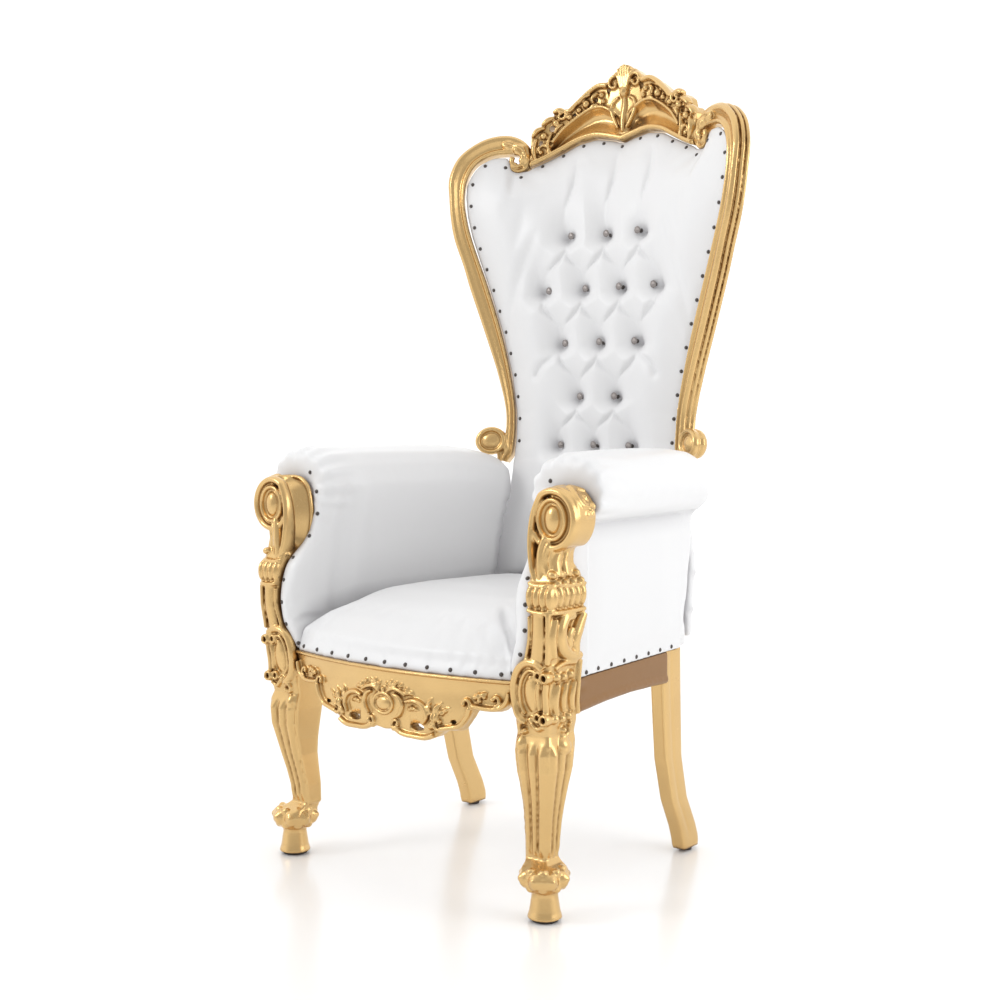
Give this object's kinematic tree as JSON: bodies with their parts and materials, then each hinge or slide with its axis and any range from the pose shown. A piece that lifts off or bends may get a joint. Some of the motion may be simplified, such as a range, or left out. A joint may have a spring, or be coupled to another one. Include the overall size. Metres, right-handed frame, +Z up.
{
  "type": "carved high-backed throne armchair",
  "caption": "High-backed carved and gilded throne armchair with scrolled arm posts, pierced crest, wrapped buttoned back, padded arms and a bow-fronted white leather seat",
  "frame": {"origin": "centre of the footprint of the whole throne, on the floor", "axes": "+Z up, the sitter faces -Y; left and right in the piece names are as seen from the front, so right is +X"},
  "size_m": [0.8958, 0.897, 1.8008],
  "materials": {
    "gilding": "carved hardwood, gold leaf finish, satin lustre with darker tone in the hollows",
    "gilding_shade": "hardwood rail in antique gold lacquer",
    "white_leather": "smooth white upholstery leather over foam, soft sheen",
    "dark_nickel": "dark nickel buttons",
    "glide": "black moulded floor glide"
  },
  "bodies": {
    "root": {"front_leg_left": "gilding", "front_leg_right": "gilding", "rear_leg_left": "gilding", "rear_leg_right": "gilding", "front_glide_left": "glide", "front_glide_right": "glide", "rear_glide_left": "glide", "rear_glide_right": "glide", "side_rail_left": "gilding_shade", "side_rail_right": "gilding_shade", "back_stile_left": "gilding", "back_stile_right": "gilding", "arm_pad_left": "white_leather", "arm_pad_right": "white_leather", "side_panel_left": "white_leather", "side_panel_right": "white_leather", "front_apron": "gilding", "rear_rail": "gilding_shade", "crest_rail": "gilding", "back_cushion": "white_leather", "outside_back": "white_leather", "seat_cushion": "white_leather", "tuft_button_01": "dark_nickel", "tuft_button_02": "dark_nickel", "tuft_button_03": "dark_nickel", "tuft_button_04": "dark_nickel", "tuft_button_05": "dark_nickel", "tuft_button_06": "dark_nickel", "tuft_button_07": "dark_nickel", "tuft_button_08": "dark_nickel", "tuft_button_09": "dark_nickel", "tuft_button_10": "dark_nickel", "tuft_button_11": "dark_nickel", "tuft_button_12": "dark_nickel", "tuft_button_13": "dark_nickel", "tuft_button_14": "dark_nickel", "tuft_button_15": "dark_nickel"}
  },
  "joints": []
}
